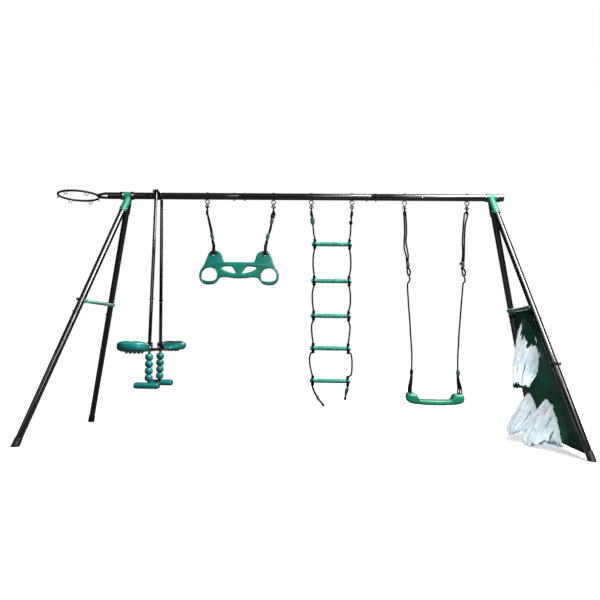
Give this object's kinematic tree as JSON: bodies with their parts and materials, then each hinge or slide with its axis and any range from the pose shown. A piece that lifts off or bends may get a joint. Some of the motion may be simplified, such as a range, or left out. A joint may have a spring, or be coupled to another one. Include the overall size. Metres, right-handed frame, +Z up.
{
  "type": "swing set",
  "caption": "Steel A-frame garden swing set with a tandem glider, ring trapeze, rope ladder, rope swing, throwing hoop and a fabric target panel with net pockets.",
  "frame": {"origin": "on the ground under the middle of the whole length, from the hoop to the far feet; the end frames' middle is 17.3 mm towards +X", "axes": "+X along the top bar, from the hoop end to the target panel end; -Y to the front; +Z up"},
  "size_m": [3.743, 1.5428, 1.8175],
  "materials": {
    "frame_black": "gloss black powder coat on steel tube",
    "bracket_green": "gloss green powder coat on steel",
    "teal_plastic": "satin moulded plastic, blue-green",
    "green_plastic": "satin moulded plastic, green",
    "rope_black": "braided black rope",
    "zinc_steel": "bright zinc plating",
    "panel_fabric": "woven dark green fabric with black binding",
    "net_white": "white knitted net",
    "black_plastic": "moulded black plastic"
  },
  "bodies": {
    "root": {"bar_end_cap": "black_plastic", "bar_left": "frame_black", "bar_middle": "frame_black", "bar_right": "frame_black", "corner_bracket_left": "bracket_green", "corner_bracket_right": "bracket_green", "crossbar_left": "bracket_green", "crossbar_right": "bracket_green", "eye_bolt_ladder_left": "zinc_steel", "eye_bolt_ladder_right": "zinc_steel", "eye_bolt_swing_left": "zinc_steel", "eye_bolt_swing_right": "zinc_steel", "eye_bolt_trapeze_left": "zinc_steel", "eye_bolt_trapeze_right": "zinc_steel", "foot_cap_left_front": "black_plastic", "foot_cap_left_rear": "black_plastic", "foot_cap_right_front": "black_plastic", "foot_cap_right_rear": "black_plastic", "glider_bracket": "frame_black", "glider_top_pin_front": "zinc_steel", "glider_top_pin_rear": "zinc_steel", "hoop": "frame_black", "hoop_mount": "frame_black", "leg_lower_left_front": "frame_black", "leg_lower_left_rear": "frame_black", "leg_lower_right_front": "frame_black", "leg_lower_right_rear": "frame_black", "leg_upper_left_front": "frame_black", "leg_upper_left_rear": "frame_black", "leg_upper_right_front": "frame_black", "leg_upper_right_rear": "frame_black", "net_pocket_front": "net_white", "net_pocket_rear": "net_white", "net_pocket_upper": "net_white", "target_panel": "panel_fabric"},
    "glider_front_hanger": {"glider_hanger_front": "frame_black"},
    "glider_rear_hanger": {"glider_hanger_rear": "frame_black"},
    "glider_carriage": {"glider_frame": "frame_black", "glider_low_pin_front": "zinc_steel", "glider_low_pin_rear": "zinc_steel", "bead_sleeve_front": "teal_plastic", "bead_sleeve_rear": "teal_plastic", "glider_seat_front": "teal_plastic", "glider_seat_rear": "teal_plastic", "footrest_front": "teal_plastic", "footrest_rear": "teal_plastic"},
    "trapeze_ropes": {"trapeze_rope_left": "rope_black", "trapeze_rope_right": "rope_black"},
    "trapeze_bar": {"trapeze_bar": "teal_plastic"},
    "ladder": {"ladder_rope_left": "rope_black", "ladder_rope_right": "rope_black", "ladder_rung_1": "green_plastic", "ladder_rung_2": "green_plastic", "ladder_rung_3": "green_plastic", "ladder_rung_4": "green_plastic", "ladder_rung_5": "green_plastic"},
    "swing": {"swing_rope_left": "rope_black", "swing_rope_right": "rope_black", "swing_seat": "green_plastic"}
  },
  "joints": [
    {"name": "glider_swing", "type": "hinge", "parent": "root", "child": "glider_front_hanger", "pos_m": [-1.09951, -0.085, 1.8], "axis": [1, 0, 0], "range_deg": [-20, 20]},
    {"name": "glider_rear_hang", "type": "hinge", "parent": "root", "child": "glider_rear_hanger", "pos_m": [-1.09951, 0.085, 1.8], "axis": [1, 0, 0], "range_deg": [-20.5, 20.5]},
    {"name": "glider_rock", "type": "hinge", "parent": "glider_front_hanger", "child": "glider_carriage", "pos_m": [-1.09951, -0.165, 0.668], "axis": [1, 0, 0], "range_deg": [-11, 11]},
    {"name": "trapeze_swing", "type": "hinge", "parent": "root", "child": "trapeze_ropes", "pos_m": [-0.48401, 0, 1.7235], "axis": [1, 0, 0], "range_deg": [-45, 45]},
    {"name": "trapeze_tilt", "type": "hinge", "parent": "trapeze_ropes", "child": "trapeze_bar", "pos_m": [-0.48401, 0, 1.346], "axis": [1, 0, 0], "range_deg": [-25, 25]},
    {"name": "ladder_swing", "type": "hinge", "parent": "root", "child": "ladder", "pos_m": [0.19549, 0, 1.7235], "axis": [1, 0, 0], "range_deg": [-30, 30]},
    {"name": "swing_swing", "type": "hinge", "parent": "root", "child": "swing", "pos_m": [0.95849, 0, 1.7235], "axis": [1, 0, 0], "range_deg": [-50, 50]}
  ],
  "couplings": [
    {"joint": "glider_rear_hang", "follows": "glider_swing", "ratio": 1},
    {"joint": "glider_rock", "follows": "glider_swing", "ratio": -0.51}
  ]
}
